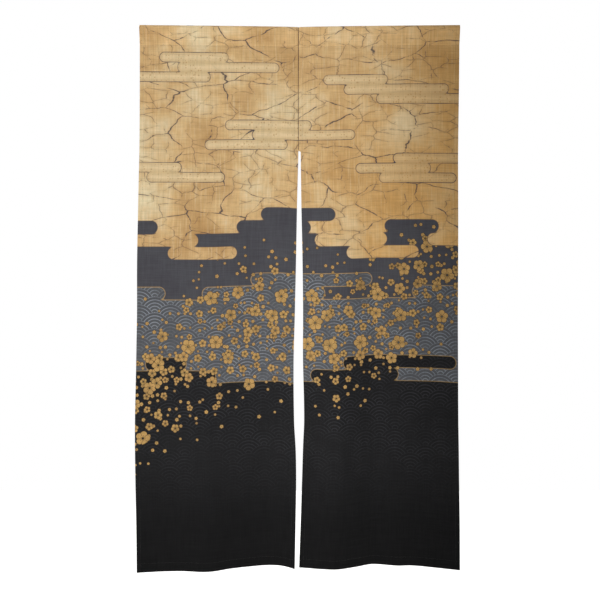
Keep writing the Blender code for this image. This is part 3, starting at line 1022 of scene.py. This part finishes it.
def stitch_tree():
    """Lays short lengths of thread along every line of a mesh of lines."""
    tree = bpy.data.node_groups.new("machine_stitches", "GeometryNodeTree")
    tree.interface.new_socket(name="Lines", in_out="INPUT", socket_type="NodeSocketGeometry")
    inputs = {}
    for name in ("Pitch", "Stitch", "Thread", "Slant"):
        inputs[name] = tree.interface.new_socket(name=name, in_out="INPUT", socket_type="NodeSocketFloat")
    inputs["Seed"] = tree.interface.new_socket(name="Seed", in_out="INPUT", socket_type="NodeSocketInt")
    inputs["Material"] = tree.interface.new_socket(
        name="Material", in_out="INPUT", socket_type="NodeSocketMaterial",
    )
    tree.interface.new_socket(name="Stitches", in_out="OUTPUT", socket_type="NodeSocketGeometry")
    given = tree.nodes.new("NodeGroupInput").outputs
    curve = add(tree, "GeometryNodeMeshToCurve", given["Lines"])
    normals = add(tree, "GeometryNodeInputNamedAttribute", {"Name": "outward"}, data_type="FLOAT_VECTOR")
    points = add(tree, "GeometryNodeResampleCurve", {"Curve": curve, "Length": given["Pitch"]}, mode="LENGTH")
    tangent = add(tree, "GeometryNodeInputTangent")
    facing = add(tree, "FunctionNodeAlignRotationToVector", {"Vector": tangent}, axis="X")
    facing = add(
        tree, "FunctionNodeAlignRotationToVector", {"Rotation": facing, "Vector": normals},
        axis="Z", pivot_axis="X",
    )
    slant = add(tree, "CombineXYZ", 0.0, 0.0, given["Slant"])
    slant = add(tree, "FunctionNodeEulerToRotation", slant)
    facing = add(
        tree, "FunctionNodeRotateRotation", {"Rotation": facing, "Rotate By": slant},
        rotation_space="LOCAL",
    )
    drop = add(tree, "GeometryNodeMeshUVSphere", {"Segments": 6, "Rings": 4, "Radius": 0.5})
    vary = add(tree, "FunctionNodeRandomValue", {2: 0.88, 3: 1.10, "Seed": given["Seed"]}, data_type="FLOAT")
    long = add(tree, "Math MULTIPLY", given["Stitch"], vary)
    size = add(tree, "CombineXYZ", long, given["Thread"], given["Thread"])
    laid = add(tree, "GeometryNodeInstanceOnPoints", {
        "Points": points, "Instance": drop, "Rotation": facing, "Scale": size,
    })
    real = add(tree, "GeometryNodeRealizeInstances", laid)
    done = add(tree, "GeometryNodeSetMaterial", {"Geometry": real, "Material": given["Material"]})
    out = tree.nodes.new("NodeGroupOutput")
    tree.links.new(done, out.inputs["Stitches"])
    return tree, {name: socket.identifier for name, socket in inputs.items()}


def lines_mesh(name, lines):
    """A mesh of open lines, each a row of points with the way that its cloth faces."""
    points, edges, outward = [], [], []
    for line, facing in lines:
        first = len(points)
        points += [tuple(p) for p in line]
        outward += [tuple(f) for f in facing]
        edges += [(first + n, first + n + 1) for n in range(len(line) - 1)]
    mesh = bpy.data.meshes.new(name)
    mesh.from_pydata(points, edges, [])
    attribute = mesh.attributes.new("outward", "FLOAT_VECTOR", "POINT")
    attribute.data.foreach_set("vector", np.array(outward, np.float32).reshape(-1))
    return mesh


def sewn_piece(name, lines, values, material):
    """Sews along lines with Geometry Nodes, and keeps the result as a plain mesh."""
    tree, sockets = stitch_tree()
    guide = new_object(name + "_guide", lines_mesh(name + "_guide", lines))
    maker = guide.modifiers.new("stitches", "NODES")
    maker.node_group = tree
    for key, value in values.items():
        maker[sockets[key]] = value
    maker[sockets["Material"]] = material
    ready = guide.evaluated_get(bpy.context.evaluated_depsgraph_get())
    mesh = bpy.data.meshes.new_from_object(ready)
    mesh.name = name
    guide.modifiers.clear()
    bpy.data.objects.remove(guide)
    mesh.shade_smooth()
    return new_object(name, mesh)


def cloth_line(cloth, across, along, behind, outer):
    """A line on the cloth, on its printed face or, for outer -1, on the back of its last layer."""
    across, along = np.broadcast_arrays(np.asarray(across, float), np.asarray(along, float))
    away = outer * cloth.sizes.thickness / 2
    facing = cloth.front(across, along) * outer
    return cloth.point(across, along, behind - away), facing


def hem_lines(cloth):
    """Lines of machine stitching, on the face and on the back: side hems, bottom hem and pocket."""
    sizes = cloth.sizes
    side = sizes.side_hem - 1.5 * MM
    hem_at = CLOTH_LENGTH - sizes.bottom_hem + 2 * MM
    full = np.arange(POCKET_DEPTH - SECTION.length, CLOTH_LENGTH - 1 * MM, 2 * MM)
    wide = np.arange(1.5 * MM, PANEL_WIDTH - 1.5 * MM, 2 * MM)
    below = full[full > POCKET_DEPTH + 2 * MM]
    lines = []
    for at in (side, PANEL_WIDTH - side):
        for run, behind, outer in ((full, 0.0, 1), (below, 2 * sizes.layer, -1)):
            across = at + 0.0 * run
            for _ in range(8):
                across = at - cloth.turned_back(across, np.maximum(run, POCKET_DEPTH))
            lines.append(cloth_line(cloth, across, run, behind, outer))
    lines.append(cloth_line(cloth, wide, hem_at, 0.0, 1))
    corner = cloth.in_side_hem(wide)
    lines.append(cloth_line(cloth, wide, hem_at, (2 + 1.3 * corner) * sizes.layer, -1))
    lines.append(cloth_line(cloth, wide, POCKET_DEPTH + 0.4 * MM, 0.0, 1))
    lines.append(cloth_line(cloth, wide, POCKET_DEPTH - SECTION.length + 1 * MM, 0.0, 1))
    return lines


class NOREN_OT_sewing(bpy.types.Operator):
    """Sews the hems, the rod pocket and the middle seam"""

    bl_idname = "noren.sewing"
    bl_label = "Build Sewing"

    def execute(self, context):
        sewing, sizes = context.scene.noren_sewing, context.scene.noren_cloth
        hem_thread = spun_polyester("spun_polyester_hem_thread", sewing.thread_colour)
        seam_thread = spun_polyester("spun_polyester_seam_thread", sewing.seam_colour)
        left, right = the_cloths(sizes)
        run = np.arange(POCKET_DEPTH - SECTION.length, SLIT_TOP - 1 * MM, 2 * MM)
        middle, facing = cloth_line(right, 0.0 * run, run, -0.2 * MM, 1)
        middle[:, 0] = -0.4 * MM
        values = {
            "Pitch": sewing.seam_pitch, "Stitch": sewing.seam_stitch, "Thread": sewing.seam_thread,
            "Slant": radians(28), "Seed": 5,
        }
        seam = sewn_piece("middle_seam", [(middle, facing)], values, seam_thread)
        values = {"Pitch": sewing.pitch, "Stitch": sewing.stitch, "Thread": sewing.thread, "Slant": 0.0}
        for seed, cloth in enumerate((left, right)):
            name = cloth.name.replace("cloth", "stitches")
            stitches = sewn_piece(name, hem_lines(cloth), {**values, "Seed": seed}, hem_thread)
            sewn_on = [stitches] if cloth is left else [stitches, seam]
            for piece in sewn_on:
                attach(piece, "root")
        return {"FINISHED"}


def softbox(name, aim, toward, distance, size, power, spread=180):
    """A rectangular light that shines along toward, and stands off from the point it is aimed at."""
    lamp = bpy.data.lights.new(name, "AREA")
    lamp.shape = "RECTANGLE"
    lamp.size, lamp.size_y = size
    lamp.energy = power
    lamp.spread = radians(spread)
    toward = Vector(toward).normalized()
    thing = bpy.data.objects.new(name, lamp)
    bpy.context.scene.collection.objects.link(thing)
    thing.location = Vector(aim) - toward * distance
    thing.rotation_euler = toward.to_track_quat("-Z", "Y").to_euler()


class NOREN_OT_stage(bpy.types.Operator):
    """Sets the floor, the lights, the world and the camera"""

    bl_idname = "noren.stage"
    bl_label = "Build Studio"

    def execute(self, context):
        scene = context.scene
        stage = scene.noren_stage
        lowest = cad_box[0][2]
        bm = bmesh.new()
        bmesh.ops.create_grid(bm, x_segments=1, y_segments=1, size=stage.floor_size / 2)
        mesh = bpy.data.meshes.new("floor")
        bm.to_mesh(mesh)
        bm.free()
        floor = new_object("floor", mesh)
        floor.location.z = lowest - stage.floor_drop
        mesh.materials.append(painted_floor(stage))

        world = bpy.data.worlds.new("studio")
        scene.world = world
        world.use_nodes = True
        tree = world.node_tree
        tree.nodes.clear()
        seen = add(tree, "LightPath").node.outputs["Is Camera Ray"]
        light = add(tree, "Background", {"Color": (*WHITE, 1.0), "Strength": stage.ambient})
        white = add(tree, "Background", {"Color": (*WHITE, 1.0), "Strength": 1.0})
        both = add(tree, "MixShader", seen, light, white)
        add(tree, "OutputWorld", both)

        # The key is a tall softbox with a grid, whose beam ends softly over the right cloth.
        softbox(
            "key", (-0.795, 0.0, CAMERA_Z), (0.41, 0.87, -0.26), 2.6, (2.0, 3.4), stage.key_power,
            spread=12,
        )
        softbox("fill", (0.0, 0.0, CAMERA_Z), (-0.4, -0.85, -0.35), 2.6, (1.6, 1.6), stage.fill_power)
        softbox("overhead", (0.0, 0.0, 0.0), (0.0, 0.30, -0.95), 1.2, (1.6, 0.5), stage.overhead_power)

        camera = bpy.data.cameras.new("camera")
        camera.sensor_width = SENSOR_WIDTH
        camera.lens = SENSOR_WIDTH * CAMERA_DISTANCE / FRAME_WIDTH
        thing = bpy.data.objects.new("camera", camera)
        scene.collection.objects.link(thing)
        thing.location = (CAMERA_X, -CAMERA_DISTANCE, CAMERA_Z)
        thing.rotation_euler = (radians(90), 0.0, 0.0)
        scene.camera = thing
        scene.view_settings.view_transform = "Standard"
        return {"FINISHED"}


class NOREN_PT_panel(bpy.types.Panel):
    bl_idname = "NOREN_PT_panel"
    bl_label = "Noren Curtain"
    bl_space_type = "VIEW_3D"
    bl_region_type = "UI"
    bl_category = "Noren"

    def draw(self, context):
        scene = context.scene
        for settings in (scene.noren_cloth, scene.noren_print, scene.noren_sewing, scene.noren_stage):
            box = self.layout.box()
            for name in settings.bl_rna.properties.keys():
                if name not in ("rna_type", "name"):
                    box.prop(settings, name)
        for operator in OPERATORS:
            self.layout.operator(operator.bl_idname)


OPERATORS = (NOREN_OT_cloths, NOREN_OT_sewing, NOREN_OT_stage)
SETTINGS = {
    "noren_cloth": NorenCloth,
    "noren_print": NorenPrint,
    "noren_sewing": NorenSewing,
    "noren_stage": NorenStage,
}


def register():
    for name, group in SETTINGS.items():
        bpy.utils.register_class(group)
        setattr(bpy.types.Scene, name, bpy.props.PointerProperty(type=group))
    for cls in (*OPERATORS, NOREN_PT_panel):
        bpy.utils.register_class(cls)


def unregister():
    for cls in (NOREN_PT_panel, *reversed(OPERATORS)):
        bpy.utils.unregister_class(cls)
    for name, group in SETTINGS.items():
        delattr(bpy.types.Scene, name)
        bpy.utils.unregister_class(group)


def main():
    register()
    bpy.ops.noren.cloths()
    bpy.ops.noren.sewing()
    bpy.ops.noren.stage()


if __name__ == "__main__":
    main()
